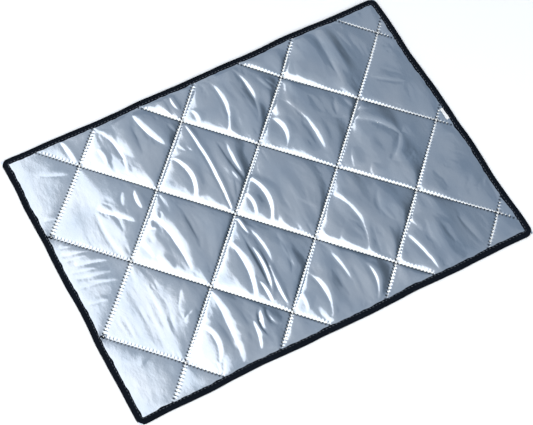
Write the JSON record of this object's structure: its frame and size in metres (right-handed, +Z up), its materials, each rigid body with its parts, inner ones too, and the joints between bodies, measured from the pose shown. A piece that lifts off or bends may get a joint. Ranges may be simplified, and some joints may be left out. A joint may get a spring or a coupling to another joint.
{
  "type": "foam sleeping pad",
  "caption": "Flat quilted foam sleeping pad with a foil-faced top, diamond stitching, a folded tape binding round the edge and a blank care label.",
  "frame": {"origin": "middle of the underside, on the surface that the pad lies on", "axes": "+X along the long sides, towards the side with the care label; +Y along the short sides; +Z up, out of the foil-faced top"},
  "size_m": [0.6, 0.443, 0.008],
  "materials": {
    "foil_film": "satin",
    "foam": "matte",
    "backing_fabric": "matte",
    "binding_tape": "matte",
    "quilting_thread": "satin",
    "binding_thread": "satin",
    "label_fabric": "satin"
  },
  "bodies": {
    "root": {"top_cover": "foil_film", "foam_core": "foam", "bottom_cover": "backing_fabric", "edge_binding": "binding_tape", "rising_needle_thread_1": "quilting_thread", "rising_needle_thread_2": "quilting_thread", "rising_needle_thread_3": "quilting_thread", "rising_needle_thread_4": "quilting_thread", "rising_needle_thread_5": "quilting_thread", "rising_needle_thread_6": "quilting_thread", "falling_needle_thread_1": "quilting_thread", "falling_needle_thread_2": "quilting_thread", "falling_needle_thread_3": "quilting_thread", "falling_needle_thread_4": "quilting_thread", "falling_needle_thread_5": "quilting_thread", "falling_needle_thread_6": "quilting_thread", "rising_bobbin_thread_1": "quilting_thread", "rising_bobbin_thread_2": "quilting_thread", "rising_bobbin_thread_3": "quilting_thread", "rising_bobbin_thread_4": "quilting_thread", "rising_bobbin_thread_5": "quilting_thread", "rising_bobbin_thread_6": "quilting_thread", "falling_bobbin_thread_1": "quilting_thread", "falling_bobbin_thread_2": "quilting_thread", "falling_bobbin_thread_3": "quilting_thread", "falling_bobbin_thread_4": "quilting_thread", "falling_bobbin_thread_5": "quilting_thread", "falling_bobbin_thread_6": "quilting_thread", "binding_needle_thread": "binding_thread", "binding_bobbin_thread": "binding_thread", "care_label": "label_fabric"}
  },
  "joints": []
}
